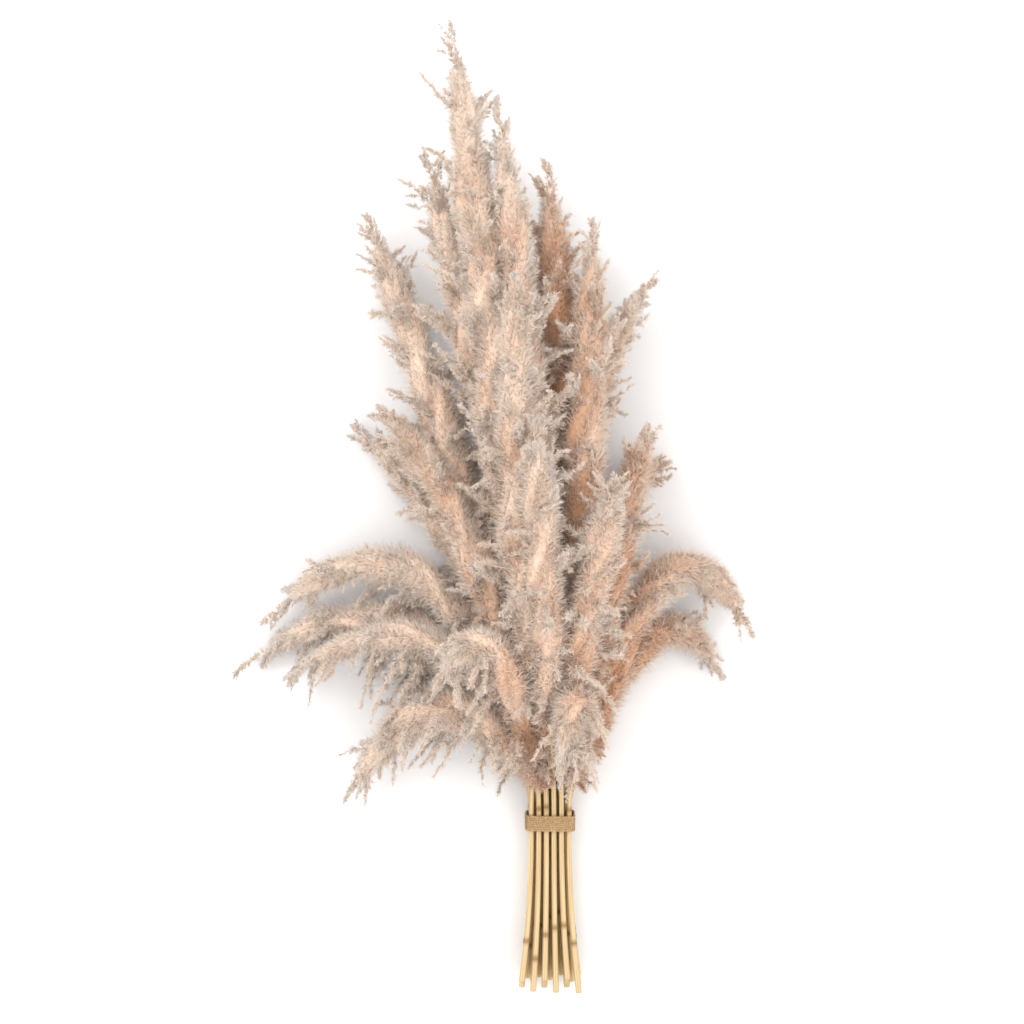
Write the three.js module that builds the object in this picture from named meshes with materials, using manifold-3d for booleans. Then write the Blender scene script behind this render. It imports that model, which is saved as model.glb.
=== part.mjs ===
// Bundle of dried pampas grass, lying on a flat surface. Millimetres, +Z up.
//
// The stems run along Y, with their plumes towards +Y and their cut ends towards -Y. They are
// laid out around the tie: x = 0 and y = 0 at its middle, z = 0 on the surface. At the end
// the whole bundle is moved so that the origin is the bottom centre of its box.
import * as THREE from 'three';
import { mergeVertices } from 'three/addons/utils/BufferGeometryUtils.js';
import Module from 'manifold-3d';

// ---- Driving dimensions ----

const STALK_RADIUS = 3.3; // at the cut end
const STALK_NECK_RADIUS = 2.3; // where the plume begins
const STALK_PITCH = 7.9; // between the middles of neighbouring stalks inside the tie
const STALK_SIDES = 6;
const STALK_STEPS = 9;

const CUT_END_Y = -168; // middle of the cut ends
const CUT_STAGGER = 7; // how far a cut end may be from that
const CUT_SPREAD = 1.5; // how far the stalks spread below the tie, as a share of their place in it

const TIE_WALL = 2.6; // thickness of the binding
const TIE_WIDTH = 18; // along the stalks
const TIE_CLEARANCE = 0.9; // between the outer stalks and the binding

const PLUME_SIDES = 9;
const PLUME_FOOT_RADIUS = 5; // where the plume meets its stalk
const GAP = 0.35; // kept between pieces that touch
const PLUME_GAP = 1.0; // kept between plumes that press on each other
const PLUME_TIP_RADIUS = 2;
const CURVE_STEPS_PER_CORNER = 5;
const SAME_POINT = 1e-4; // points nearer than this are one

// How the plume's half-width runs from its foot (0) to its tip (1), as a share of its widest.
const PLUME_PROFILE = [
  [0.05, 0.5],
  [0.18, 0.86],
  [0.36, 1.0],
  [0.56, 0.92],
  [0.76, 0.66],
  [0.92, 0.3],
];

const COLOURS = { plume: 0xdcc0a4, stalk: 0xb99a6b, tie: 0xa8834f };

// The stems, in the order in which they lie in the tie: layer by layer from the surface up, and
// from left to right. Each plume curves from its foot towards bend and ends at its tip.
const LAYERS = [
  [
    { name: 'left_fan_long', foot: [-34, 78, 13], bend: [-120, 300, 44], tip: [-330, 155, 14], width: 40 },
    { name: 'left_point', foot: [-34, 150, 26], bend: [-95, 330, 44], tip: [-204, 410, 18], width: 36 },
    { name: 'underside', foot: [-6, 190, 36], bend: [-20, 400, 56], tip: [0, 560, 36], width: 56 },
    { name: 'right_tuft', foot: [26, 150, 28], bend: [40, 345, 46], tip: [120, 373, 26], width: 44 },
    { name: 'right_arch_low', foot: [36, 80, 13], bend: [115, 280, 44], tip: [178, 150, 16], width: 38 },
  ],
  [
    { name: 'left_fan_high', foot: [-50, 112, 34], bend: [-130, 370, 72], tip: [-297, 207, 26], width: 38 },
    { name: 'left_high', foot: [-58, 225, 66], bend: [-120, 460, 76], tip: [-190, 625, 44], width: 42 },
    { name: 'crown_left', foot: [-30, 300, 84], bend: [-76, 500, 92], tip: [-128, 684, 70], width: 46 },
    { name: 'crown_right', foot: [2, 260, 80], bend: [16, 480, 92], tip: [-6, 672, 80], width: 48 },
    { name: 'right_high', foot: [36, 205, 70], bend: [6, 460, 84], tip: [106, 557, 52], width: 36 },
    { name: 'right_arch', foot: [50, 110, 34], bend: [116, 368, 76], tip: [210, 196, 26], width: 40 },
  ],
  [
    { name: 'left_fan_short', foot: [-40, 96, 54], bend: [-112, 262, 98], tip: [-272, 152, 42], width: 34 },
    { name: 'left_tuft', foot: [-46, 190, 92], bend: [-96, 360, 104], tip: [-174, 427, 70], width: 36 },
    { name: 'crown', foot: [-42, 330, 118], bend: [-62, 560, 122], tip: [-102, 810, 88], width: 48 },
    { name: 'crown_second', foot: [-16, 300, 122], bend: [-28, 500, 134], tip: [-54, 730, 106], width: 42 },
    { name: 'right_shoulder', foot: [22, 235, 106], bend: [36, 430, 122], tip: [40, 610, 98], width: 44 },
    { name: 'right_mid', foot: [40, 165, 84], bend: [72, 330, 108], tip: [96, 405, 84], width: 38 },
  ],
  [
    { name: 'left_drop', foot: [-30, 72, 60], bend: [-120, 196, 110], tip: [-212, 23, 22], width: 42 },
    { name: 'front_left', foot: [-26, 110, 94], bend: [-60, 250, 168], tip: [-112, 152, 132], width: 38 },
    { name: 'front_high', foot: [-26, 220, 134], bend: [-36, 400, 146], tip: [-38, 545, 168], width: 40 },
    { name: 'front_mid', foot: [-4, 140, 116], bend: [-10, 300, 160], tip: [-20, 410, 182], width: 40 },
    { name: 'front_right', foot: [15, 130, 100], bend: [44, 290, 152], tip: [60, 350, 162], width: 38 },
    { name: 'front_low', foot: [24, 76, 58], bend: [26, 200, 160], tip: [8, 62, 128], width: 39 },
  ],
];

const LAYER_RISE = STALK_PITCH * Math.sqrt(3) / 2; // nested rows of round stalks
const LOWEST_STALK_Z = STALK_RADIUS + TIE_WALL + TIE_CLEARANCE;
const UPWARDS = new THREE.Vector3(0, 0, 1);
const THROUGH_TIE = new THREE.Vector3(0, 1, 0); // the way every stalk runs inside the tie

const wasm = await Module();
wasm.setup();

// ---- Solids ----

/** The closed surface of a geometry: positions only, shared corners merged, collapsed faces left out. */
function closedSurface(geometry) {
  const bare = geometry.clone();
  bare.deleteAttribute('normal');
  bare.deleteAttribute('uv');
  const merged = mergeVertices(bare, SAME_POINT);
  const faces = [];
  for (let i = 0; i < merged.index.count; i += 3) {
    const [a, b, c] = [0, 1, 2].map((corner) => merged.index.getX(i + corner));
    if (a !== b && b !== c && c !== a) faces.push(a, b, c);
  }
  merged.setIndex(faces);
  return merged;
}

function toSolid(geometry) {
  const surface = closedSurface(geometry);
  return new wasm.Manifold(new wasm.Mesh({
    numProp: 3,
    vertProperties: new Float32Array(surface.attributes.position.array),
    triVerts: new Uint32Array(surface.index.array),
  }));
}

function toGeometry(solid) {
  const mesh = solid.getMesh();
  const geometry = new THREE.BufferGeometry();
  geometry.setAttribute('position', new THREE.BufferAttribute(mesh.vertProperties, 3));
  geometry.setIndex(new THREE.BufferAttribute(mesh.triVerts, 1));
  geometry.computeVertexNormals();
  return geometry;
}

/** The solid less all the cutters, and of what is left, the largest body. */
function cutAway(solid, cutters) {
  const rest = cutters.reduce((left, cutter) => left.subtract(cutter), solid);
  const bodies = rest.decompose();
  return bodies.reduce((largest, body) => (body.volume() > largest.volume() ? body : largest));
}

/**
 * A round body spun from a profile of [share of the curve, half-width] and bent along a curve.
 * Its ends are flat discs. Where it would reach below the surface, it is pressed flat on it.
 */
function bentSpindle(curve, profile, sides, pressed = true) {
  const outline = profile.map(([share, halfWidth]) => new THREE.Vector2(halfWidth, share));
  outline.unshift(new THREE.Vector2(0, outline[0].y));
  outline.push(new THREE.Vector2(0, outline[outline.length - 1].y));
  const geometry = new THREE.LatheGeometry(outline, sides);
  const position = geometry.attributes.position;
  for (let i = 0; i < position.count; i += 1) {
    const share = position.getY(i);
    const centre = curve.getPoint(share);
    const along = curve.getTangent(share);
    const right = new THREE.Vector3().crossVectors(along, UPWARDS).normalize();
    const up = new THREE.Vector3().crossVectors(right, along);
    const point = centre.addScaledVector(right, position.getX(i)).addScaledVector(up, position.getZ(i));
    if (pressed) point.z = Math.max(point.z, 0);
    position.setXYZ(i, point.x, point.y, point.z);
  }
  // The last column of points closes the round, so it repeats the first one exactly.
  for (let row = 0; row < outline.length; row += 1) {
    const last = sides * outline.length + row;
    position.setXYZ(last, position.getX(row), position.getY(row), position.getZ(row));
  }
  return toSolid(geometry);
}

// ---- Stalks ----

/** Where a stalk passes through the tie. */
function placeInTie(layer, place, layerSize) {
  return new THREE.Vector3(
    (place - (layerSize - 1) / 2) * STALK_PITCH,
    0,
    LOWEST_STALK_Z + layer * LAYER_RISE,
  );
}

/** A stalk's middle line: from its cut end, straight through the tie, and on to the foot of its plume. */
function stalkCurve(stem, inTie, layer, place) {
  const stagger = CUT_STAGGER * Math.sin(5 * layer + 3 * place);
  const cutEnd = new THREE.Vector3(
    inTie.x * CUT_SPREAD,
    CUT_END_Y + stagger,
    STALK_RADIUS + layer * LAYER_RISE * CUT_SPREAD,
  );
  const intoTie = inTie.clone().addScaledVector(THROUGH_TIE, -TIE_WIDTH / 2);
  const outOfTie = inTie.clone().addScaledVector(THROUGH_TIE, TIE_WIDTH / 2);
  const foot = new THREE.Vector3(...stem.foot);
  const towardsBend = new THREE.Vector3(...stem.bend).sub(foot).normalize();
  const third = foot.distanceTo(outOfTie) / 3;
  const curve = new THREE.CurvePath();
  curve.add(new THREE.QuadraticBezierCurve3(
    cutEnd,
    intoTie.clone().addScaledVector(THROUGH_TIE, cutEnd.y / 2),
    intoTie,
  ));
  curve.add(new THREE.LineCurve3(intoTie, outOfTie));
  curve.add(new THREE.CubicBezierCurve3(
    outOfTie,
    outOfTie.clone().addScaledVector(THROUGH_TIE, third),
    foot.clone().addScaledVector(towardsBend, -third),
    foot,
  ));
  return curve;
}

function stalkSolid(curve, extra = 0) {
  const profile = [];
  for (let step = 0; step <= STALK_STEPS; step += 1) {
    const share = step / STALK_STEPS;
    profile.push([share, THREE.MathUtils.lerp(STALK_RADIUS, STALK_NECK_RADIUS, share) + extra]);
  }
  return bentSpindle(curve, profile, STALK_SIDES);
}

// ---- Plumes ----

/** A plume's middle line. It starts a gap beyond the end of its stalk. */
function plumeCurve(stem) {
  const foot = new THREE.Vector3(...stem.foot);
  const bend = new THREE.Vector3(...stem.bend);
  foot.addScaledVector(bend.clone().sub(foot).normalize(), GAP);
  return new THREE.QuadraticBezierCurve3(foot, bend, new THREE.Vector3(...stem.tip));
}

function plumeSolid(stem, extra = 0) {
  const profile = [
    [0, PLUME_FOOT_RADIUS + extra],
    ...PLUME_PROFILE.map(([share, part]) => [share, part * stem.width + extra]),
    [1, PLUME_TIP_RADIUS + extra],
  ];
  return bentSpindle(plumeCurve(stem), profile, PLUME_SIDES, extra === 0);
}

// ---- Tie ----

/** The binding: a band round the whole stack of stalks, whose corners follow the corner stalks. */
function tieSolid() {
  const widest = Math.max(...LAYERS.map((layer) => layer.length));
  const corner = STALK_RADIUS + TIE_CLEARANCE;
  const halfWide = (widest - 1) / 2 * STALK_PITCH + corner;
  const halfHigh = (LAYERS.length - 1) / 2 * LAYER_RISE + corner;
  const ring = roundedBox(halfWide + TIE_WALL, halfHigh + TIE_WALL, corner + TIE_WALL);
  ring.holes.push(roundedBox(halfWide, halfHigh, corner));
  const geometry = new THREE.ExtrudeGeometry(ring, {
    depth: TIE_WIDTH,
    curveSegments: CURVE_STEPS_PER_CORNER,
    bevelEnabled: false,
  });
  geometry.rotateX(Math.PI / 2);
  geometry.translate(0, TIE_WIDTH / 2, halfHigh + TIE_WALL);
  return toSolid(geometry);
}

function roundedBox(halfWide, halfHigh, radius) {
  const shape = new THREE.Shape();
  shape.absarc(halfWide - radius, radius - halfHigh, radius, -Math.PI / 2, 0);
  shape.absarc(halfWide - radius, halfHigh - radius, radius, 0, Math.PI / 2);
  shape.absarc(radius - halfWide, halfHigh - radius, radius, Math.PI / 2, Math.PI);
  shape.absarc(radius - halfWide, radius - halfHigh, radius, Math.PI, Math.PI * 1.5);
  return shape;
}

// ---- The bundle ----

const bundle = new THREE.Group();

function addPiece(name, kind, solid) {
  const material = new THREE.MeshStandardMaterial({
    color: COLOURS[kind],
    roughness: 0.95,
    metalness: 0,
  });
  const mesh = new THREE.Mesh(toGeometry(solid), material);
  mesh.name = name;
  bundle.add(mesh);
}

const stems = LAYERS.flatMap((row, layer) => row.map((stem, place) => ({
  ...stem,
  curve: stalkCurve(stem, placeInTie(layer, place, row.length), layer, place),
})));

for (const stem of stems) addPiece(`stalk_${stem.name}`, 'stalk', stalkSolid(stem.curve));
addPiece('tie', 'tie', tieSolid());

// Each plume gives way to the stalks that pass through it and to the plumes that lie below it.
const stalkCutters = stems.map((stem) => stalkSolid(stem.curve, GAP));
const plumeCutters = [];
for (const stem of stems) {
  const ownStalk = stems.indexOf(stem);
  const otherStalks = stalkCutters.filter((cutter, index) => index !== ownStalk);
  addPiece(`plume_${stem.name}`, 'plume', cutAway(plumeSolid(stem), [...otherStalks, ...plumeCutters]));
  plumeCutters.push(plumeSolid(stem, PLUME_GAP));
}

const box = new THREE.Box3().setFromObject(bundle);
const middle = box.getCenter(new THREE.Vector3());
bundle.position.set(-middle.x, -middle.y, -box.min.z);

export default bundle;
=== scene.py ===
"""Bundle of dried pampas grass, lying on a pale floor and seen from above."""
import math

import bpy
import numpy as np
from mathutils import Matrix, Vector


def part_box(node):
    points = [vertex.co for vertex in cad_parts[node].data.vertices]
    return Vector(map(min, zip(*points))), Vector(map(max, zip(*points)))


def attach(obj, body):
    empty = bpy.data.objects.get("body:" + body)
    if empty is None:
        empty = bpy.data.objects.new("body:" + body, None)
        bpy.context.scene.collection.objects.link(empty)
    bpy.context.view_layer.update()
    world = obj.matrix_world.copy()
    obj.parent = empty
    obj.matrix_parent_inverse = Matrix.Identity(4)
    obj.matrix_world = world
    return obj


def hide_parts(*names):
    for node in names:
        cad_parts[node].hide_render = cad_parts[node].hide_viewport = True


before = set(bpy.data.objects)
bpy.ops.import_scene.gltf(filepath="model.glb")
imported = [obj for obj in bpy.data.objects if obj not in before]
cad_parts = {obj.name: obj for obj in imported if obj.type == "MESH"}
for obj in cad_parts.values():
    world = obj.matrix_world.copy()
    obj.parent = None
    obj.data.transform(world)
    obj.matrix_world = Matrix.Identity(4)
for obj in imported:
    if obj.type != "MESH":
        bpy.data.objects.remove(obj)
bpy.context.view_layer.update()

# ---- Sizes, in millimetres ----

MM = 0.001
STALK_RADIUS = 3.3          # at the cut end
STALK_NECK_RADIUS = 2.3     # where the plume begins
STALK_PITCH = 7.9           # between neighbouring stalks inside the tie
CUT_END_Y = -168
CUT_STAGGER = 7             # how far the cut ends differ from one length
STAGGER_PHASE = (5, 3)      # radians for each layer and for each place in it
CUT_SPREAD = 1.5            # how far apart they lie, of the stalks' distances inside the tie
TIE_WALL = 2.6
TIE_WIDTH = 18
TIE_CLEARANCE = 0.9
LAYER_RISE = STALK_PITCH * math.sqrt(3) / 2
LOWEST_STALK_Z = STALK_RADIUS + TIE_WALL + TIE_CLEARANCE

# The stems, layer by layer from the surface up and from left to right, around the tie. Each plume
# curves from its foot towards bend and ends at its tip, and width is half as wide as it is.
# droop: how far its branchlets hang. tone: how much paler (or, below 0, warmer and darker) than usual it
# is; below 0 it is painted shade on stems that lie low between the others.
# puff, lean, hang and skirt multiply or replace PUFF, LEAN, HANG and SKIRT for one stem.
LAYERS = [
    [
        dict(name="left_fan_long", foot=(-34, 78, 13), bend=(-120, 300, 44), tip=(-330, 155, 14),
             width=40, droop=0.45, tone=0.3, puff=1.4),
        dict(name="left_point", foot=(-34, 150, 26), bend=(-95, 330, 44), tip=(-204, 410, 18),
             width=36, droop=0.1, tone=0.2, puff=1.2),
        # Its warm, dark tone is painted shade: it lies lowest, under the others.
        dict(name="underside", foot=(-6, 190, 36), bend=(-20, 400, 56), tip=(0, 560, 36),
             width=56, droop=0, tone=-0.3, puff=1.1),
        dict(name="right_tuft", foot=(26, 150, 28), bend=(40, 345, 46), tip=(120, 373, 26),
             width=44, droop=0.1, tone=0.05, puff=0.7),
        dict(name="right_arch_low", foot=(36, 80, 13), bend=(115, 280, 44), tip=(178, 150, 16),
             width=38, droop=0.1, tone=0, puff=0.75, hang=0.1),
    ],
    [
        dict(name="left_fan_high", foot=(-50, 112, 34), bend=(-130, 370, 72), tip=(-297, 207, 26),
             width=38, droop=0.3, tone=0.3),
        dict(name="left_high", foot=(-58, 225, 66), bend=(-120, 460, 76), tip=(-190, 625, 44),
             width=42, droop=0, tone=0.2, puff=1.35, skirt=80),
        dict(name="crown_left", foot=(-30, 300, 84), bend=(-76, 500, 92), tip=(-128, 684, 70),
             width=46, droop=0, tone=0.18, puff=1.4, skirt=130),
        # Its warm, dark tone is painted shade: it lies low between higher plumes.
        dict(name="crown_right", foot=(2, 260, 80), bend=(16, 480, 92), tip=(-6, 672, 80),
             width=48, droop=0, tone=-0.2, puff=1.45, skirt=100),
        dict(name="right_high", foot=(36, 205, 70), bend=(6, 460, 84), tip=(106, 557, 52),
             width=36, droop=0, tone=0.1, skirt=70),
        dict(name="right_arch", foot=(50, 110, 34), bend=(116, 368, 76), tip=(210, 196, 26),
             width=40, droop=0.3, tone=0.02, puff=0.8, hang=0.8),
    ],
    [
        dict(name="left_fan_short", foot=(-40, 96, 54), bend=(-112, 262, 98), tip=(-272, 152, 42),
             width=34, droop=0.45, tone=0.28, puff=1.4),
        dict(name="left_tuft", foot=(-46, 190, 92), bend=(-96, 360, 104), tip=(-174, 427, 70),
             width=36, droop=0.1, tone=0.15, puff=1.15, skirt=70),
        dict(name="crown", foot=(-42, 330, 118), bend=(-62, 560, 122), tip=(-102, 810, 88),
             width=48, droop=0, tone=0.22, puff=1.3, skirt=110),
        dict(name="crown_second", foot=(-16, 300, 122), bend=(-28, 500, 134), tip=(-54, 730, 106),
             width=42, droop=0, tone=0.15, puff=1.3, skirt=100),
        dict(name="right_shoulder", foot=(22, 235, 106), bend=(36, 430, 122), tip=(40, 610, 98),
             width=44, droop=0, tone=0.05, puff=1.25, skirt=90),
        dict(name="right_mid", foot=(40, 165, 84), bend=(72, 330, 108), tip=(96, 405, 84),
             width=38, droop=0.1, tone=0, puff=1.05),
    ],
    [
        dict(name="left_drop", foot=(-30, 72, 60), bend=(-120, 196, 110), tip=(-212, 23, 22),
             width=42, droop=0.2, tone=0.25, puff=1.5, hang=0.6),
        dict(name="front_left", foot=(-26, 110, 94), bend=(-60, 250, 168), tip=(-112, 152, 132),
             width=38, droop=0.4, tone=0.2, puff=1.25, lean=0.6),
        dict(name="front_high", foot=(-26, 220, 134), bend=(-36, 400, 146), tip=(-38, 545, 168),
             width=40, droop=0, tone=0.18, puff=1.3, lean=0.6),
        dict(name="front_mid", foot=(-4, 140, 116), bend=(-10, 300, 160), tip=(-20, 410, 182),
             width=40, droop=0, tone=0.2, puff=1.35, lean=0.6),
        dict(name="front_right", foot=(15, 130, 100), bend=(44, 290, 152), tip=(60, 350, 162),
             width=38, droop=0.1, tone=0.12, puff=1.3, lean=0.6),
        dict(name="front_low", foot=(24, 76, 58), bend=(26, 200, 160), tip=(8, 62, 128),
             width=39, droop=0.25, tone=0.2, puff=1.2, lean=0.6),
    ],
]

# The plume: branchlets round a middle stem. Each branchlet is a soft tassel of short twigs, and
# each twig carries a puff of fine hairs.
PUFF = 1                    # how far out branchlets reach, of what is usual
LEAN = 0.8                  # how far they lean towards the plume's tip, of what is usual
HANG = 1                    # how much of the droop near the tie they have
SKIRT = 45                  # how far below its foot a plume's first branchlets grow, on the stalk
BRANCHLET_PITCH = 4.6       # along the plume
TUFT_SIZE = 4               # neighbouring branchlets that lean the same way
TUFT_STRAY = 0.45           # radians that one turns off its tuft
BRANCHLET_REACH = (0.3, 1.15)  # of the plume's half-width there
REACH_BIAS = 0.8            # below 1, more branchlets reach far than near
REACH_RANGE = (0.75, 1.15)  # within a tuft
CLOSE_SHARE = 0.28          # of the branchlets, which lie close over the fleece
CLOSE_REACH = 0.5
BRANCHLET_FORWARD = 32      # usual reach towards the tip
BRANCHLET_LEAN = 0.55       # more of that for each millimetre of reach outwards
FORWARD_RANGE = (0.35, 1.15)
TIP_OVERHANG = 4            # furthest that one reaches past the plume's own tip
ELBOW = (0.5, 0.62)         # where a branchlet bends, as shares of its reach outwards and forwards
BRANCHLET_CURL = 9          # how far one strays sideways
BRANCHLET_RADIUS = (0.5, 0.15)  # of its own stem, at its root and at its tip
BRANCHLET_STEPS = 6
BRANCHLET_SIDES = 3
BRANCHLET_ALONG = 0.5       # its colour, between that of a hair's root and of its tip
MIDDLE_RADIUS = (STALK_NECK_RADIUS, 0.9, 0.4)
MIDDLE_RADIUS_AT = (0, 0.1, 1)
MIDDLE_STEPS = 40
MIDDLE_SIDES = 8
MIDDLE_TONE = 0.45
MIDDLE_ALONG = 0.6
TWIG_PITCH = 1.05           # along a branchlet
FEWEST_TWIGS = 22           # on a branchlet
FIRST_TWIG = 0.02           # share of the branchlet where the first one may grow
TWIG_LENGTH = (13, 4)       # at the branchlet's root and at its tip
TWIG_LENGTH_RANGE = (0.4, 1.15)
TWIG_SPLAY = (56, 10)       # degrees off the branchlet, at its root and at its tip
TWIG_SPLAY_SPREAD = 12
TWIG_HALF_WIDTH = 0.12
HAIRS_PER_TWIG = 10
FIRST_HAIR = 0.1            # share of the twig where the first one may grow
HAIR_LENGTH = 8.2
HAIR_LENGTH_RANGE = (0.5, 1.15)
HAIR_TAPER_AT = (0, 0.5, 1)
HAIR_TAPER = (1.1, 1, 0.5)  # how hairs shorten towards a branchlet's tip
HAIR_SPLAY = 38             # degrees off the twig
HAIR_SPLAY_SPREAD = 14
HAIR_HALF_WIDTH = 0.38
MOST_HAIRS = 45000          # in one piece of a plume
LOW_DROOP = 0.7             # how much more the branchlets nearest the tie hang
LOW_DROOP_END = 300         # y beyond which they don't
DROOP_RANGE = (0.6, 1.2)
DROOP_DOWN = 0.1            # how far a branchlet sinks for each millimetre that it hangs back

# The fleece of a plume.
FLEECE_SHARE = 0.36         # of the plume's half-width
FLEECE_END = 0.9            # share of the plume where it ends
FLEECE_START = 0.3          # its thickness at the bottom of the skirt, of that at the foot
FLEECE_RINGS = 90
FLEECE_SIDES = 28
FLEECE_LUMPS = ((3, 11, 0.15), (2, 17, 0.14), (5, 7, 0.09))  # waves round, mm between waves, depth
FLEECE_PLACE = 0.12         # its colour is that of a branchlet this far up: warm and dark, painted shade deep in the plume
PILE_PER_MM = 34            # hairs for each millimetre of its length
PILE_LENGTH = 17
PILE_LENGTH_RANGE = (0.4, 1.2)
PILE_HALF_WIDTH = 0.42
PILE_DEPTH = 1.5            # how deep in the fleece it is rooted
PILE_LEAN = (0.95, 0.65, 0.5)  # outwards, towards the plume's tip, and astray
PILE_PLACE = 1.0            # its colour, as for FLEECE_PLACE

# Shapes that change along a plume, each at shares of its length.
PROFILE_AT = (0, 0.08, 0.2, 0.38, 0.6, 0.8, 0.93, 1)
PROFILE = (0.6, 0.8, 0.97, 1.0, 0.9, 0.64, 0.24, 0.05)
SLENDER_AT = (0, 0.7, 0.9, 1)   # how branchlets thin towards the plume's tip
SLENDER = (1, 0.9, 0.6, 0.3)
DROOP_AT = (0, 0.4, 0.75, 1)    # how much of the plume's droop its branchlets have
DROOP = (1.0, 1.6, 0.5, 0.1)

# How pale the fluff is, from 0 (warm) to 1 (grey): fluff faded by the sun is paler, and painted shade
# makes it warmer and darker.
LEAST_BLEACHED = 0.12
REACH_BLEACH_AND_SHADE = 0.75      # more of that at a plume's full half-width: partly fading of the outer fluff, partly painted shade near the middle stem
REACH_POWER = 0.7           # below 1, most of it comes close to the middle stem
PALEST = 0.68               # the most before it greys
GREY_FROM = 0.75            # share of the plume beyond which it greys
ROOT_GREY = 0.3             # how much of that a branchlet's root has, of what its tip has
BRANCHLET_VARIES = 0.07     # spread of the bleaching from one branchlet, twig or hair to the next
TWIG_VARIES = 0.04
HAIR_VARIES = 0.04
PILE_VARIES = 0.06
# Painted shade: low in the middle of the bundle the fluff is made warmer and darker, as its shaded hollows
# look.
PAINTED_SHADE_MIDDLE = (0, 290)      # x and y of the middle of the painted shade, where the bundle's hollows are warmest and darkest
PAINTED_SHADE_REACH = (85, 280)
PAINTED_SHADE_TOP = 165              # height at which that painted shade ends
PAINTED_SHADE_WARMTH = 0.95
MOTTLE = 0.07               # how much the fluff varies from tuft to tuft
MOTTLE_WAVES = (            # millimetres of x, y and z for each radian of a wave, and where it starts
    ((13, 31, math.inf), 0),
    ((-24, 16, math.inf), 1),
    ((math.inf, 22, 12), 2),
)

GOLDEN_ANGLE = math.pi * (3 - math.sqrt(5))
CURVE_STEPS = 60            # points on a plume's line when its length is measured
UV_MARGIN = 0.01
UV_SWAY = 0.001
FLOOR_CLEARANCE = 0.4
BRANCHLET_CLEARANCE = 8     # branchlets lie this far off the floor
BRANCHLET_CEILING = 192     # and no higher than this

tie_low, tie_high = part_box("tie")
TIE_MIDDLE = np.array([(tie_low.x + tie_high.x) / 2, (tie_low.y + tie_high.y) / 2, 0]) / MM


# ---- Curves and meshes ----

def bezier(controls, share):
    """Points of a Bezier curve. A control may be one point or one point for each curve."""
    share = np.asarray(share, float)[..., None]
    points = [np.asarray(p, float) for p in controls]
    while len(points) > 1:
        points = [a + (b - a) * share for a, b in zip(points, points[1:])]
    return points[0]


def unit(v):
    return v / np.maximum(np.linalg.norm(v, axis=-1, keepdims=True), 1e-9)


def across(along):
    """Two directions square to each given direction and to each other, found by means of the z axis,
    or of the x axis where the given direction is nearly upright."""
    helper = np.where(np.abs(along[..., 2:]) < 0.9, (0.0, 0.0, 1.0), (1.0, 0.0, 0.0))
    side = unit(np.cross(along, helper))
    return side, np.cross(side, along)


def tubes(paths, radii, sides):
    """Closed tubes along many paths of equal point count, (tubes, points, 3). The radii are
    (tubes, points), or (tubes, points, sides) where a tube isn't round."""
    along = unit(np.gradient(paths, axis=1))
    side, up = across(along)
    turn = np.linspace(0, 2 * math.pi, sides, endpoint=False)
    ring = np.cos(turn)[:, None] * side[:, :, None] + np.sin(turn)[:, None] * up[:, :, None]
    verts = paths[:, :, None] + ring * radii.reshape(*radii.shape[:2], -1, 1)
    count, steps = paths.shape[:2]
    index = np.arange(count * steps * sides).reshape(count, steps, sides)
    near, far = index[:, :-1], index[:, 1:]
    quads = np.stack([near, np.roll(near, -1, 2), np.roll(far, -1, 2), far], -1).reshape(-1, 4)
    quads = quads[:, ::-1]
    caps = [index[:, 0], index[:, -1, ::-1]]
    return verts.reshape(-1, 3), quads, np.concatenate(caps)


def length_along(path):
    """How far along a path each of its points is."""
    return np.concatenate([[0], np.cumsum(np.linalg.norm(np.diff(path, axis=0), axis=1))])


def evenly(path, apart):
    """Points about so far apart on a path, and how far along it each one is."""
    run = length_along(path)
    even = np.linspace(0, run[-1], int(run[-1] / apart))
    return np.stack([np.interp(even, run, path[:, k]) for k in range(3)], 1), even


def spikes(root, tip, half_width):
    """Slender closed spikes with three sides, from root to tip."""
    side, up = across(unit(tip - root))
    turn = np.arange(3) * 2 * math.pi / 3
    ring = np.cos(turn)[:, None] * side[:, None] + np.sin(turn)[:, None] * up[:, None]
    base = root[:, None] + ring * half_width
    verts = np.concatenate([base, tip[:, None]], 1).reshape(-1, 3)
    first = np.arange(len(root))[:, None, None] * 4
    faces = first + np.array([[1, 0, 3], [2, 1, 3], [0, 2, 3], [0, 1, 2]])
    return verts, faces.reshape(-1, 3)


def build_mesh(name, verts, face_groups, attributes=None, uv=None):
    """A mesh object from points in millimetres round the tie and arrays of faces of equal corner count."""
    mesh = bpy.data.meshes.new(name)
    mesh.vertices.add(len(verts))
    mesh.vertices.foreach_set("co", ((verts + TIE_MIDDLE) * MM).astype(np.float32).ravel())
    corners = np.concatenate([faces.ravel() for faces in face_groups]).astype(np.int32)
    sizes = np.concatenate([np.full(len(faces), faces.shape[1]) for faces in face_groups])
    starts = np.concatenate([[0], np.cumsum(sizes)[:-1]]).astype(np.int32)
    mesh.loops.add(len(corners))
    mesh.loops.foreach_set("vertex_index", corners)
    mesh.polygons.add(len(starts))
    mesh.polygons.foreach_set("loop_start", starts)
    mesh.update(calc_edges=True)
    mesh.shade_smooth()
    for key, values in (attributes or {}).items():
        layer = mesh.attributes.new(key, "FLOAT", "POINT")
        layer.data.foreach_set("value", values.astype(np.float32))
    if uv is not None:
        layer = mesh.uv_layers.new(name="OFBake")
        layer.uv.foreach_set("vector", uv[corners].astype(np.float32).ravel())
    obj = bpy.data.objects.new(name, mesh)
    bpy.context.collection.objects.link(obj)
    return obj


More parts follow.
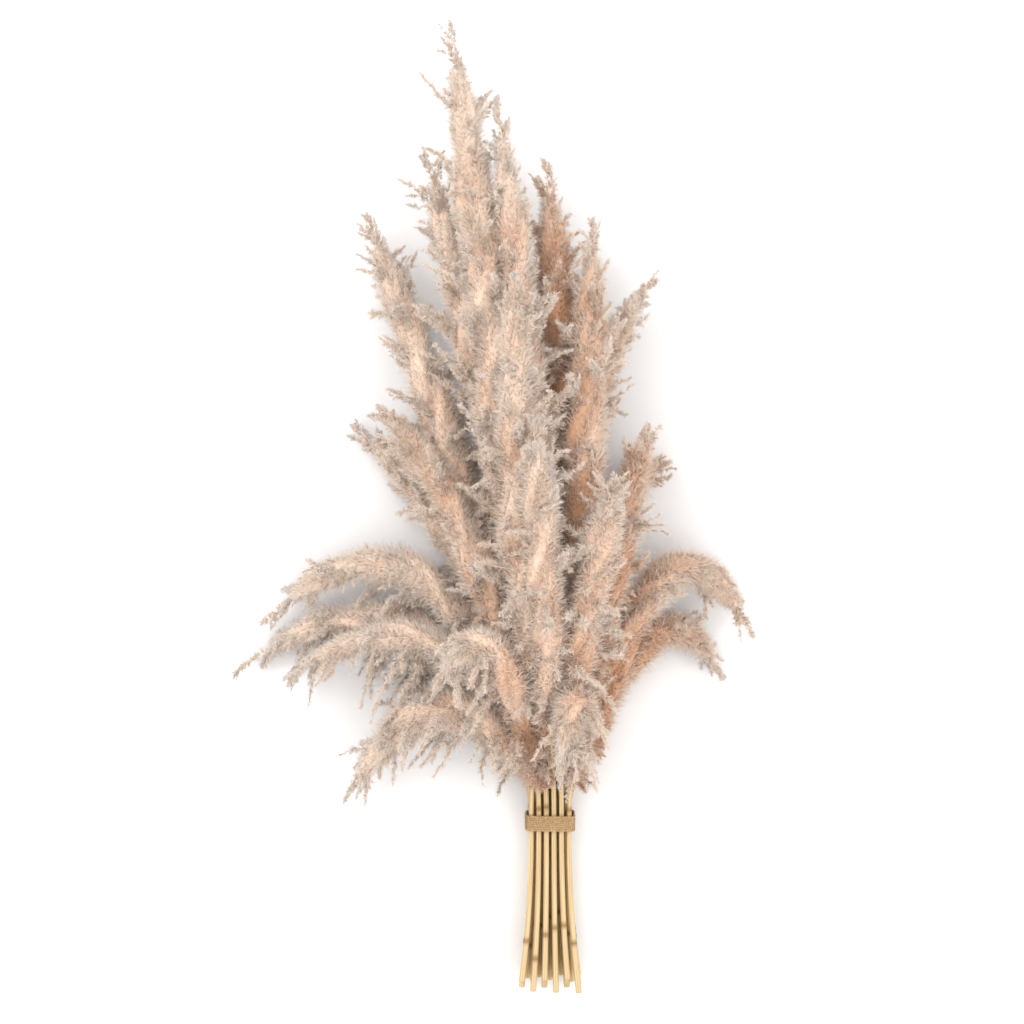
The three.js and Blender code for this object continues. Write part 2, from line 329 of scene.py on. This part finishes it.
class Parts:
    """Points, faces and colour values of the parts that make up one mesh."""

    def __init__(self):
        self.verts, self.groups, self.tone, self.along = [], [], [], []
        self.count = 0

    def add(self, verts, groups, tone, along):
        self.verts.append(verts)
        self.groups += [faces + self.count for faces in groups]
        self.tone.append(np.broadcast_to(tone, len(verts)))
        self.along.append(np.broadcast_to(along, len(verts)))
        self.count += len(verts)

    def add_spikes(self, root, tip, tone, half_width):
        verts, faces = spikes(root, tip, half_width)
        self.add(verts, [faces], np.repeat(tone, 4), np.tile([0.0, 0.0, 0.0, 1.0], len(root)))

    def build(self, name):
        verts = np.concatenate(self.verts)
        verts[:, 2] = np.maximum(verts[:, 2], FLOOR_CLEARANCE)
        tone = np.clip(np.concatenate(self.tone), UV_MARGIN, 1 - UV_MARGIN)
        along = np.concatenate(self.along)
        # The two colour values are the bake's map. The sway gives each face some width in it.
        sway = np.resize([-UV_SWAY, UV_SWAY, 0.0, 0.0], len(verts))
        uv = np.stack([tone + sway, UV_MARGIN + (1 - 2 * UV_MARGIN) * along], 1)
        return build_mesh(name, verts, self.groups, {"bleach_and_shade": tone, "along": along}, uv)


def add_piece(obj, material, node):
    obj.data.materials.append(material)
    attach(obj, "root")
    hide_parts(node)


# ---- Materials ----

def new_material(name, roughness):
    material = bpy.data.materials.new(name)
    material.use_nodes = True
    shader = material.node_tree.nodes["Principled BSDF"]
    shader.inputs["Roughness"].default_value = roughness
    return material, material.node_tree, shader


def ramp(tree, source, stops):
    """A colour ramp of (place, linear colour) stops, fed by source."""
    node = tree.nodes.new("ShaderNodeValToRGB")
    elements = node.color_ramp.elements
    while len(elements) < len(stops):
        elements.new(0.5)
    for element, (place, colour) in zip(elements, stops):
        element.position = place
        element.color = (*colour, 1)
    tree.links.new(source, node.inputs["Fac"])
    return node.outputs["Color"]


def attribute(tree, name):
    node = tree.nodes.new("ShaderNodeAttribute")
    node.attribute_name = name
    return node.outputs["Fac"]


def mix(tree, factor, first, second, blend="MIX"):
    node = tree.nodes.new("ShaderNodeMix")
    node.data_type = "RGBA"
    node.blend_type = blend
    if isinstance(factor, float):
        node.inputs["Factor"].default_value = factor
    else:
        tree.links.new(factor, node.inputs["Factor"])
    tree.links.new(first, node.inputs["A"])
    tree.links.new(second, node.inputs["B"])
    return node.outputs["Result"]


def plume_material():
    """bleach_and_shade is 0 where a plume is warmest and darkest and 1 at its greyed tip; along runs up
    each hair, and a hair's root is painted darker and warmer than its tip, as shade deep in the fluff.
    """
    material, tree, shader = new_material("pampas_plume", roughness=0.85)
    bleach_and_shade = attribute(tree, "bleach_and_shade")
    # Hair roots: painted shade, darker and warmer than the tips, deep in the fluff.
    shaded_roots = ramp(tree, bleach_and_shade, [
        (0.0, (0.60, 0.34, 0.20)),
        (0.35, (0.77, 0.58, 0.46)),
        (0.7, (0.85, 0.71, 0.60)),
        (1.0, (0.64, 0.60, 0.58)),
    ])
    tips = ramp(tree, bleach_and_shade, [
        (0.0, (0.82, 0.56, 0.40)),
        (0.35, (0.92, 0.80, 0.70)),
        (0.7, (0.97, 0.89, 0.81)),
        (1.0, (0.80, 0.78, 0.77)),
    ])
    colour = mix(tree, attribute(tree, "along"), shaded_roots, tips)
    tree.links.new(colour, shader.inputs["Base Color"])
    shader.inputs["Specular IOR Level"].default_value = 0.25
    shader.inputs["Sheen Weight"].default_value = 0.25
    shader.inputs["Sheen Tint"].default_value = (1.0, 0.93, 0.86, 1)
    return material


def stalk_material():
    """Straw with a grain drawn out along the stalk, darker at the joints."""
    material, tree, shader = new_material("pampas_stalk", roughness=0.55)
    place = tree.nodes.new("ShaderNodeUVMap")
    place.uv_map = "OFBake"
    stretch = tree.nodes.new("ShaderNodeMapping")
    stretch.inputs["Scale"].default_value = (26, 3, 1)
    tree.links.new(place.outputs["UV"], stretch.inputs["Vector"])
    grain = tree.nodes.new("ShaderNodeTexNoise")
    grain.inputs["Scale"].default_value = 1.0
    grain.inputs["Detail"].default_value = 5
    tree.links.new(stretch.outputs["Vector"], grain.inputs["Vector"])
    straw = ramp(tree, grain.outputs["Fac"], [
        (0.3, (0.36, 0.24, 0.11)),
        (0.5, (0.60, 0.45, 0.24)),
        (0.7, (0.74, 0.61, 0.38)),
    ])
    joint = ramp(tree, attribute(tree, "joint"), [(0, (1, 1, 1)), (1, (0.42, 0.3, 0.18))])
    colour = mix(tree, 1.0, straw, joint, "MULTIPLY")
    tree.links.new(colour, shader.inputs["Base Color"])
    bump = tree.nodes.new("ShaderNodeBump")
    bump.inputs["Strength"].default_value = 0.35
    bump.inputs["Distance"].default_value = 0.0004
    tree.links.new(grain.outputs["Fac"], bump.inputs["Height"])
    tree.links.new(bump.outputs["Normal"], shader.inputs["Normal"])
    return material


def tie_material():
    material, tree, shader = new_material("jute_cord", roughness=0.9)
    grain = tree.nodes.new("ShaderNodeTexNoise")
    grain.inputs["Scale"].default_value = 900
    grain.inputs["Detail"].default_value = 4
    place = tree.nodes.new("ShaderNodeTexCoord")
    tree.links.new(place.outputs["Object"], grain.inputs["Vector"])
    colour = ramp(tree, grain.outputs["Fac"], [
        (0.3, (0.25, 0.15, 0.07)),
        (0.55, (0.45, 0.30, 0.15)),
        (0.75, (0.62, 0.46, 0.27)),
    ])
    tree.links.new(colour, shader.inputs["Base Color"])
    shader.inputs["Sheen Weight"].default_value = 0.2
    return material


def floor_material():
    material, tree, shader = new_material("pale_floor", roughness=0.9)
    grain = tree.nodes.new("ShaderNodeTexNoise")
    grain.inputs["Scale"].default_value = 2
    colour = ramp(tree, grain.outputs["Fac"], [
        (0.3, (0.82, 0.84, 0.87)),
        (0.7, (0.85, 0.87, 0.90)),
    ])
    tree.links.new(colour, shader.inputs["Base Color"])
    return material


# ---- Plumes ----

def plume_line(stem):
    return [np.array(stem[key], float) for key in ("foot", "bend", "tip")]


def plume_length(stem):
    fine = bezier(plume_line(stem), np.linspace(0, 1, CURVE_STEPS))
    return np.linalg.norm(np.diff(fine, axis=0), axis=1).sum()


def follow(stem, run, length):
    """For each distance up a plume, or below 0 down its skirt: the share of the plume's length,
    the direction there, and the point on its middle line."""
    axis = plume_line(stem)
    share = np.maximum(run / length, 0)
    along = unit(bezier([axis[1] - axis[0], axis[2] - axis[1]], share))
    return share, along, bezier(axis, share) + along * np.minimum(run, 0)[:, None]


def grow_branchlets(stem, rng):
    """The three control points of each branchlet's curve, how far up the plume it grows, and its
    reach outwards."""
    length = plume_length(stem)
    skirt = stem.get("skirt", SKIRT)
    count = int((length + skirt) / BRANCHLET_PITCH)
    run = (np.arange(count) + rng.random(count)) / count * (length + skirt) - skirt
    share, along, start = follow(stem, run, length)
    side, up = across(along)
    tuft = np.arange(count) // TUFT_SIZE
    around = GOLDEN_ANGLE * tuft + rng.normal(0, TUFT_STRAY, count)
    outward = np.cos(around)[:, None] * side + np.sin(around)[:, None] * up
    reach = stem["width"] * np.interp(share, PROFILE_AT, PROFILE)
    spread = np.interp(rng.random(tuft[-1] + 1)[tuft] ** REACH_BIAS, (0, 1), BRANCHLET_REACH)
    spread = spread * rng.uniform(*REACH_RANGE, count)
    spread[rng.random(count) < CLOSE_SHARE] = CLOSE_REACH
    reach = reach * spread * stem.get("puff", PUFF)
    forward = (BRANCHLET_FORWARD + BRANCHLET_LEAN * reach) * rng.uniform(*FORWARD_RANGE, count)
    forward = forward * stem.get("lean", LEAN)
    forward = np.minimum(forward, (1 - share) * length + TIP_OVERHANG)
    elbow = start + outward * (ELBOW[0] * reach)[:, None] + along * (ELBOW[1] * forward)[:, None]
    end = start + outward * reach[:, None] + along * forward[:, None]
    # They curl less over the plume's last half.
    elbow = elbow + rng.normal(0, BRANCHLET_CURL, (count, 3)) * np.minimum(1, 2 - 2 * share)[:, None]
    low = np.clip(1 - start[:, 1] / LOW_DROOP_END, 0, 1)
    droop = stem["droop"] * np.interp(share, DROOP_AT, DROOP) + LOW_DROOP * low * stem.get("hang", HANG)
    hang = droop * np.hypot(reach, forward) * rng.uniform(*DROOP_RANGE, count)
    end[:, 1] -= hang
    end[:, 2] -= DROOP_DOWN * hang
    curves = [start, elbow, end]
    for points in curves:
        points[:, 2] = np.clip(points[:, 2], BRANCHLET_CLEARANCE, BRANCHLET_CEILING)
    return curves, share, reach


def make_fleece(stem, material, rng):
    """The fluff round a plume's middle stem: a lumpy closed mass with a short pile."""
    whole = plume_length(stem)
    skirt = stem.get("skirt", SKIRT)
    run = np.linspace(-skirt, whole * FLEECE_END, FLEECE_RINGS)
    share, along, middle = follow(stem, run, whole)
    turn = np.linspace(0, 2 * math.pi, FLEECE_SIDES, endpoint=False)
    swell = np.ones((FLEECE_RINGS, FLEECE_SIDES))
    for waves, apart, depth in FLEECE_LUMPS:
        swell += depth * np.sin(waves * turn + run[:, None] / apart + rng.uniform(0, 2 * math.pi))
    thick = np.interp(share, PROFILE_AT, PROFILE) * np.interp(run, (-skirt, 0), (FLEECE_START, 1))
    radius = FLEECE_SHARE * stem["width"] * thick[:, None] * swell
    verts, quads, caps = tubes(middle[None], radius[None], FLEECE_SIDES)
    parts = Parts()
    skin = verts.reshape(FLEECE_RINGS, FLEECE_SIDES, 3)
    # The fleece's skin takes a hair root's colour: painted shade deep in the plume.
    tone = bleaching_and_shade(FLEECE_PLACE, share[:, None], radius, stem, skin)
    parts.add(verts, [quads, caps], tone.ravel(), 0.0)
    # The pile, rooted all over it and leaning towards the plume's tip.
    count = int(PILE_PER_MM * run[-1])
    ring = rng.integers(0, FLEECE_RINGS - 1, count)
    column = rng.integers(0, FLEECE_SIDES, count)
    onward = rng.random(count)[:, None]
    sideways = rng.random(count)[:, None]
    root = skin[ring, column] + (skin[ring + 1, column] - skin[ring, column]) * onward
    root += (skin[ring, (column + 1) % FLEECE_SIDES] - skin[ring, column]) * sideways
    outward = unit(root - middle[ring] - along[ring] * onward)
    root -= outward * PILE_DEPTH
    lean = outward * PILE_LEAN[0] + along[ring] * PILE_LEAN[1] + rng.normal(0, PILE_LEAN[2], (count, 3))
    slender = np.interp(share[ring], SLENDER_AT, SLENDER)
    length = PILE_LENGTH * rng.uniform(*PILE_LENGTH_RANGE, count) * slender
    tip = root + unit(lean) * length[:, None]
    tone = bleaching_and_shade(PILE_PLACE, share[ring], radius[ring, column], stem, root)
    tone += rng.normal(0, PILE_VARIES, count)
    parts.add_spikes(root, tip, tone, PILE_HALF_WIDTH)
    fleece = parts.build("fleece_" + stem["name"])
    add_piece(fleece, material, "plume_" + stem["name"])


def splayed(along, degrees, rng):
    """A direction for each given one, turned off it by so many degrees to a random side."""
    side, up = across(along)
    around = rng.uniform(0, 2 * math.pi, len(along))[:, None]
    angle = np.radians(degrees)[:, None]
    outward = np.cos(around) * side + np.sin(around) * up
    return along * np.cos(angle) + outward * np.sin(angle)


def shade(points):
    """Painted shade: how much warmer and darker the fluff is made deep in the middle of the bundle, where
    its hollows are shaded; and how much it varies from tuft to tuft.
    """
    x, y, z = np.moveaxis(points, -1, 0)
    aside = (x - PAINTED_SHADE_MIDDLE[0]) / PAINTED_SHADE_REACH[0]
    beyond = (y - PAINTED_SHADE_MIDDLE[1]) / PAINTED_SHADE_REACH[1]
    # Painted shade of the bundle's hollows, strongest low down and in the middle.
    deep = np.exp(-aside ** 2 - beyond ** 2) * np.clip(1 - z / PAINTED_SHADE_TOP, 0, 1)
    tufts = sum(np.sin((points / np.array(scale)).sum(-1) + start) for scale, start in MOTTLE_WAVES)
    return PAINTED_SHADE_WARMTH * deep + MOTTLE * tufts


def bleaching_and_shade(place, share, reach, stem, points):
    """How pale a plume is, part way up a branchlet that grows part way up the plume: paler far out and
    where it greys, warmer and darker in painted shade near its middle stem and deep in the bundle.
    """
    # Fluff far from the middle stem is paler: partly faded by the sun, partly painted shade near the stem.
    outwards = (place * reach / stem["width"]) ** REACH_POWER
    warm = LEAST_BLEACHED + stem["tone"] + REACH_BLEACH_AND_SHADE * outwards
    # Painted shade and the tuft-to-tuft mottle make the fluff warmer and darker.
    warm = np.clip(warm - shade(points), 0, PALEST)
    greyed = np.clip((share - GREY_FROM) / (1 - GREY_FROM), 0, 1) * (ROOT_GREY + (1 - ROOT_GREY) * place)
    return warm * (1 - greyed) + greyed


def grow_hairs(curves, share, reach, stem, rng):
    """Roots and tips of the twigs and of the hairs on them, and how bleached each one is."""
    size = np.linalg.norm(curves[2] - curves[0], axis=1)
    slender = np.interp(share, SLENDER_AT, SLENDER)
    per = np.maximum((size / TWIG_PITCH).astype(int), FEWEST_TWIGS)
    owner = np.repeat(np.arange(len(per)), per)
    place = rng.uniform(FIRST_TWIG, 1, len(owner))
    mine = [points[owner] for points in curves]
    twig_root = bezier(mine, place)
    along = unit(bezier([mine[1] - mine[0], mine[2] - mine[1]], place))
    splay = np.interp(place, (0, 1), TWIG_SPLAY) + rng.normal(0, TWIG_SPLAY_SPREAD, len(owner))
    twig = splayed(along, splay, rng)
    twig_length = np.interp(place, (0, 1), TWIG_LENGTH) * slender[owner]
    twig_length *= rng.uniform(*TWIG_LENGTH_RANGE, len(owner))
    twig_tip = twig_root + twig * twig_length[:, None]
    twig_tone = bleaching_and_shade(place, share[owner], reach[owner], stem, twig_root)
    twig_tone += rng.normal(0, BRANCHLET_VARIES, len(per))[owner]
    twig_tone += rng.normal(0, TWIG_VARIES, len(owner))
    bearer = np.repeat(np.arange(len(owner)), HAIRS_PER_TWIG)
    up_twig = rng.uniform(FIRST_HAIR, 1, len(bearer))[:, None]
    root = twig_root[bearer] + (twig_tip - twig_root)[bearer] * up_twig
    hair = splayed(twig[bearer], rng.normal(HAIR_SPLAY, HAIR_SPLAY_SPREAD, len(bearer)), rng)
    length = HAIR_LENGTH * slender[owner][bearer] * rng.uniform(*HAIR_LENGTH_RANGE, len(bearer))
    length *= np.interp(place, HAIR_TAPER_AT, HAIR_TAPER)[bearer]
    tip = root + hair * length[:, None]
    tone = twig_tone[bearer] + rng.normal(0, HAIR_VARIES, len(bearer))
    return (twig_root, twig_tip, twig_tone), (root, tip, tone)


def add_branchlet_stems(parts, curves, share, reach, stem):
    steps = np.linspace(0, 1, BRANCHLET_STEPS)
    paths = bezier([points[:, None] for points in curves], steps[None])
    radii = np.tile(np.interp(steps, (0, 1), BRANCHLET_RADIUS), (len(paths), 1))
    verts, quads, caps = tubes(paths, radii, BRANCHLET_SIDES)
    tone = bleaching_and_shade(steps[None], share[:, None], reach[:, None], stem, paths)
    parts.add(verts, [quads, caps], np.repeat(tone.ravel(), BRANCHLET_SIDES), BRANCHLET_ALONG)


def add_middle_stem(parts, stem):
    steps = np.linspace(0, 1, MIDDLE_STEPS)
    middle = bezier(plume_line(stem), steps)[None]
    thick = np.interp(steps, MIDDLE_RADIUS_AT, MIDDLE_RADIUS)[None]
    verts, quads, caps = tubes(middle, thick, MIDDLE_SIDES)
    parts.add(verts, [quads, caps], MIDDLE_TONE, MIDDLE_ALONG)


def make_plume(stem, material, rng):
    """One plume, in as many pieces along its length as keep each to a fair number of hairs."""
    curves, share, reach = grow_branchlets(stem, rng)
    size = np.linalg.norm(curves[2] - curves[0], axis=1)
    pieces = math.ceil(size.sum() / TWIG_PITCH * HAIRS_PER_TWIG / MOST_HAIRS)
    for number, chosen in enumerate(np.array_split(np.arange(len(share)), pieces), 1):
        mine = [points[chosen] for points in curves]
        twigs, hairs = grow_hairs(mine, share[chosen], reach[chosen], stem, rng)
        parts = Parts()
        parts.add_spikes(*hairs, HAIR_HALF_WIDTH)
        parts.add_spikes(*twigs, TWIG_HALF_WIDTH)
        add_branchlet_stems(parts, mine, share[chosen], reach[chosen], stem)
        if number == 1:
            add_middle_stem(parts, stem)
        name = "fluff_" + stem["name"] + (f"_{number}" if pieces > 1 else "")
        plume = parts.build(name)
        add_piece(plume, material, "plume_" + stem["name"])


# ---- Stalks ----

STALK_SIDES = 14
STALK_CURVE_STEPS = 50      # points on each of its two curves
STALK_RING_PITCH = 2.5      # along it
JOINTS = 4
FIRST_JOINT = (30, 70)      # from the cut end
JOINT_PITCH = (120, 170)
JOINT_LENGTH = 3
BETWEEN_JOINTS = 0.93       # how thick it is there
JOINT_SWELL = 0.13          # how much thicker at a joint


def place_in_tie(layer, place, layer_size):
    return np.array([(place - (layer_size - 1) / 2) * STALK_PITCH, 0, LOWEST_STALK_Z + layer * LAYER_RISE])


def stalk_line(stem, in_tie, layer, place):
    """The stalk's middle line: from its cut end, straight through the tie, and on to its plume."""
    stagger = CUT_STAGGER * math.sin(STAGGER_PHASE[0] * layer + STAGGER_PHASE[1] * place)
    cut_end = np.array([
        in_tie[0] * CUT_SPREAD,
        CUT_END_Y + stagger,
        STALK_RADIUS + layer * LAYER_RISE * CUT_SPREAD,
    ])
    through = np.array([0.0, 1.0, 0.0])
    into_tie = in_tie - through * TIE_WIDTH / 2
    out_of_tie = in_tie + through * TIE_WIDTH / 2
    foot = np.array(stem["foot"], float)
    towards_bend = unit(np.array(stem["bend"], float) - foot)
    third = np.linalg.norm(foot - out_of_tie) / 3
    steps = np.linspace(0, 1, STALK_CURVE_STEPS)
    lower = bezier([cut_end, into_tie + through * cut_end[1] / 2, into_tie], steps)
    upper_controls = [out_of_tie, out_of_tie + through * third, foot - towards_bend * third, foot]
    return np.concatenate([lower, bezier(upper_controls, steps)])


def make_stalk(stem, line, material, rng):
    path, even = evenly(line, STALK_RING_PITCH)
    radius = np.interp(even, (0, even[-1]), (STALK_RADIUS, STALK_NECK_RADIUS))
    joints = rng.uniform(*FIRST_JOINT) + np.arange(JOINTS) * rng.uniform(*JOINT_PITCH)
    near = np.exp(-((even[:, None] - joints) / JOINT_LENGTH) ** 2).sum(1)
    radius = radius * (BETWEEN_JOINTS + JOINT_SWELL * near)
    verts, quads, caps = tubes(path[None], radius[None], STALK_SIDES)
    verts[:, 2] = np.maximum(verts[:, 2], 0)
    turn = np.tile(np.arange(STALK_SIDES) / STALK_SIDES, len(path))
    up_it = np.repeat(even / even[-1], STALK_SIDES)
    uv = np.stack([turn, up_it], 1)
    joint = np.repeat(near, STALK_SIDES).clip(0, 1)
    stalk = build_mesh("straw_" + stem["name"], verts, [quads, caps], {"joint": joint}, uv)
    add_piece(stalk, material, "stalk_" + stem["name"])


# ---- Tie ----

TURNS = 7
TURN_STEPS = 72
TURN_SQUARENESS = 1.6       # above 1, a turn runs straight over the flat sides of the stack
PLIES = 3
CORD_RADIUS = 1.25
CORD_STEP = 0.8             # between points on its line
PLY_TWIST = 9               # length of one full twist
PLY_RADIUS = 0.62           # of the cord's
PLY_OFFSET = 0.5            # of the cord's radius, from its middle
PLY_SIDES = 8
CORD_END = (0.3, 6)         # how thick it is at each end, and the length over which it thins
FIBRES = 2600
FIBRE_DEPTH = 0.8           # of the cord's radius, where they are rooted
FIBRE_OUT = (0.3, 1.1)
FIBRE_ALONG = (-2.5, 2.5)
FIBRE_HALF_WIDTH = 0.05
CORD_FLOOR_CLEARANCE = 0.05


def tie_route():
    """The cord's middle line: turns wound side by side round the stack of stalks."""
    widest = max(len(layer) for layer in LAYERS)
    corner = STALK_RADIUS + TIE_CLEARANCE
    half_wide = (widest - 1) / 2 * STALK_PITCH
    half_high = (len(LAYERS) - 1) / 2 * LAYER_RISE
    middle_z = TIE_WALL + corner + half_high
    radius = corner + CORD_RADIUS
    points = []
    for turn in range(TURNS):
        for step in range(TURN_STEPS):
            angle = 2 * math.pi * step / TURN_STEPS
            ahead = ((turn + step / TURN_STEPS) / TURNS - 0.5) * (TIE_WIDTH - 2 * CORD_RADIUS)
            wide = np.clip(TURN_SQUARENESS * math.cos(angle), -1, 1)
            high = np.clip(TURN_SQUARENESS * math.sin(angle), -1, 1)
            x = half_wide * wide + radius * math.cos(angle)
            z = half_high * high + radius * math.sin(angle)
            points.append((x, ahead, middle_z + z))
    return np.array(points)


def make_tie(material, rng):
    line, even = evenly(tie_route(), CORD_STEP)
    onward = unit(np.gradient(line, axis=0))
    side, up = across(onward)
    phase = 2 * math.pi * (even[None] / PLY_TWIST + np.arange(PLIES)[:, None] / PLIES)
    off = PLY_OFFSET * CORD_RADIUS
    paths = line + off * (np.cos(phase)[..., None] * side + np.sin(phase)[..., None] * up)
    thinnest, thinning = CORD_END
    ends = np.minimum(1, np.minimum(even, even[-1] - even) / thinning + thinnest)
    verts, quads, caps = tubes(paths, np.tile(PLY_RADIUS * CORD_RADIUS * ends, (PLIES, 1)), PLY_SIDES)
    # Loose fibres along the cord.
    picked = rng.integers(0, len(line), FIBRES)
    around = rng.uniform(0, 2 * math.pi, FIBRES)
    out = np.cos(around)[:, None] * side[picked] + np.sin(around)[:, None] * up[picked]
    root = line[picked] + out * CORD_RADIUS * FIBRE_DEPTH
    tip = root + out * rng.uniform(*FIBRE_OUT, FIBRES)[:, None]
    tip += onward[picked] * rng.uniform(*FIBRE_ALONG, FIBRES)[:, None]
    fibre_verts, fibre_faces = spikes(root, tip, FIBRE_HALF_WIDTH)
    offset = len(verts)
    verts = np.concatenate([verts, fibre_verts])
    verts[:, 2] = np.maximum(verts[:, 2], CORD_FLOOR_CLEARANCE)
    tie = build_mesh("cord_tie", verts, [quads, caps, fibre_faces + offset])
    add_piece(tie, material, "tie")


# ---- Build ----

LAYER_SEEDS = 100           # from the seed of one layer's first stem to that of the next's
TIE_SEED = 7

plume_finish = plume_material()
stalk_finish = stalk_material()
for layer, row in enumerate(LAYERS):
    for place, stem in enumerate(row):
        rng = np.random.default_rng(LAYER_SEEDS * layer + place)
        make_fleece(stem, plume_finish, rng)
        make_plume(stem, plume_finish, rng)
        line = stalk_line(stem, place_in_tie(layer, place, len(row)), layer, place)
        make_stalk(stem, line, stalk_finish, rng)
make_tie(tie_material(), np.random.default_rng(TIE_SEED))

# ---- Floor, light and camera ----

bpy.ops.mesh.primitive_plane_add(size=12, location=(0, 0, 0))
floor = bpy.context.object
floor.name = "floor"
floor.data.materials.append(floor_material())


def area_light(name, place, target, size, watts):
    data = bpy.data.lights.new(name, "AREA")
    data.shape = "DISK"
    data.size = size
    data.energy = watts
    light = bpy.data.objects.new(name, data)
    light.location = place
    light.rotation_euler = (Vector(target) - Vector(place)).to_track_quat("-Z", "Y").to_euler()
    bpy.context.collection.objects.link(light)


# A large soft key light from the upper left, a fill from the lower right, and a pale warm sky.
area_light("key", place=(-1.1, 0.9, 2.0), target=(0, 0.1, 0), size=1.6, watts=17)
area_light("fill", place=(1.6, -0.6, 2.0), target=(0, 0, 0), size=2.0, watts=14)
world = bpy.data.worlds.new("studio")
world.use_nodes = True
background = world.node_tree.nodes["Background"]
background.inputs["Color"].default_value = (1, 0.955, 0.91, 1)
background.inputs["Strength"].default_value = 1.34
bpy.context.scene.world = world

# The camera looks straight down. These are in metres, but for the sensor.
VIEW_MIDDLE = Vector((0.020, 0.005, 0.09))
VIEW_DISTANCE = 1.6
VIEW_WIDTH = 1.024
SENSOR_WIDTH = 36
camera_data = bpy.data.cameras.new("camera")
camera_data.sensor_width = SENSOR_WIDTH
camera_data.lens = SENSOR_WIDTH * VIEW_DISTANCE / VIEW_WIDTH
camera = bpy.data.objects.new("camera", camera_data)
camera.location = VIEW_MIDDLE + Vector((0, 0, VIEW_DISTANCE))
bpy.context.collection.objects.link(camera)
bpy.context.scene.camera = camera
bpy.context.scene.view_settings.view_transform = "Standard"
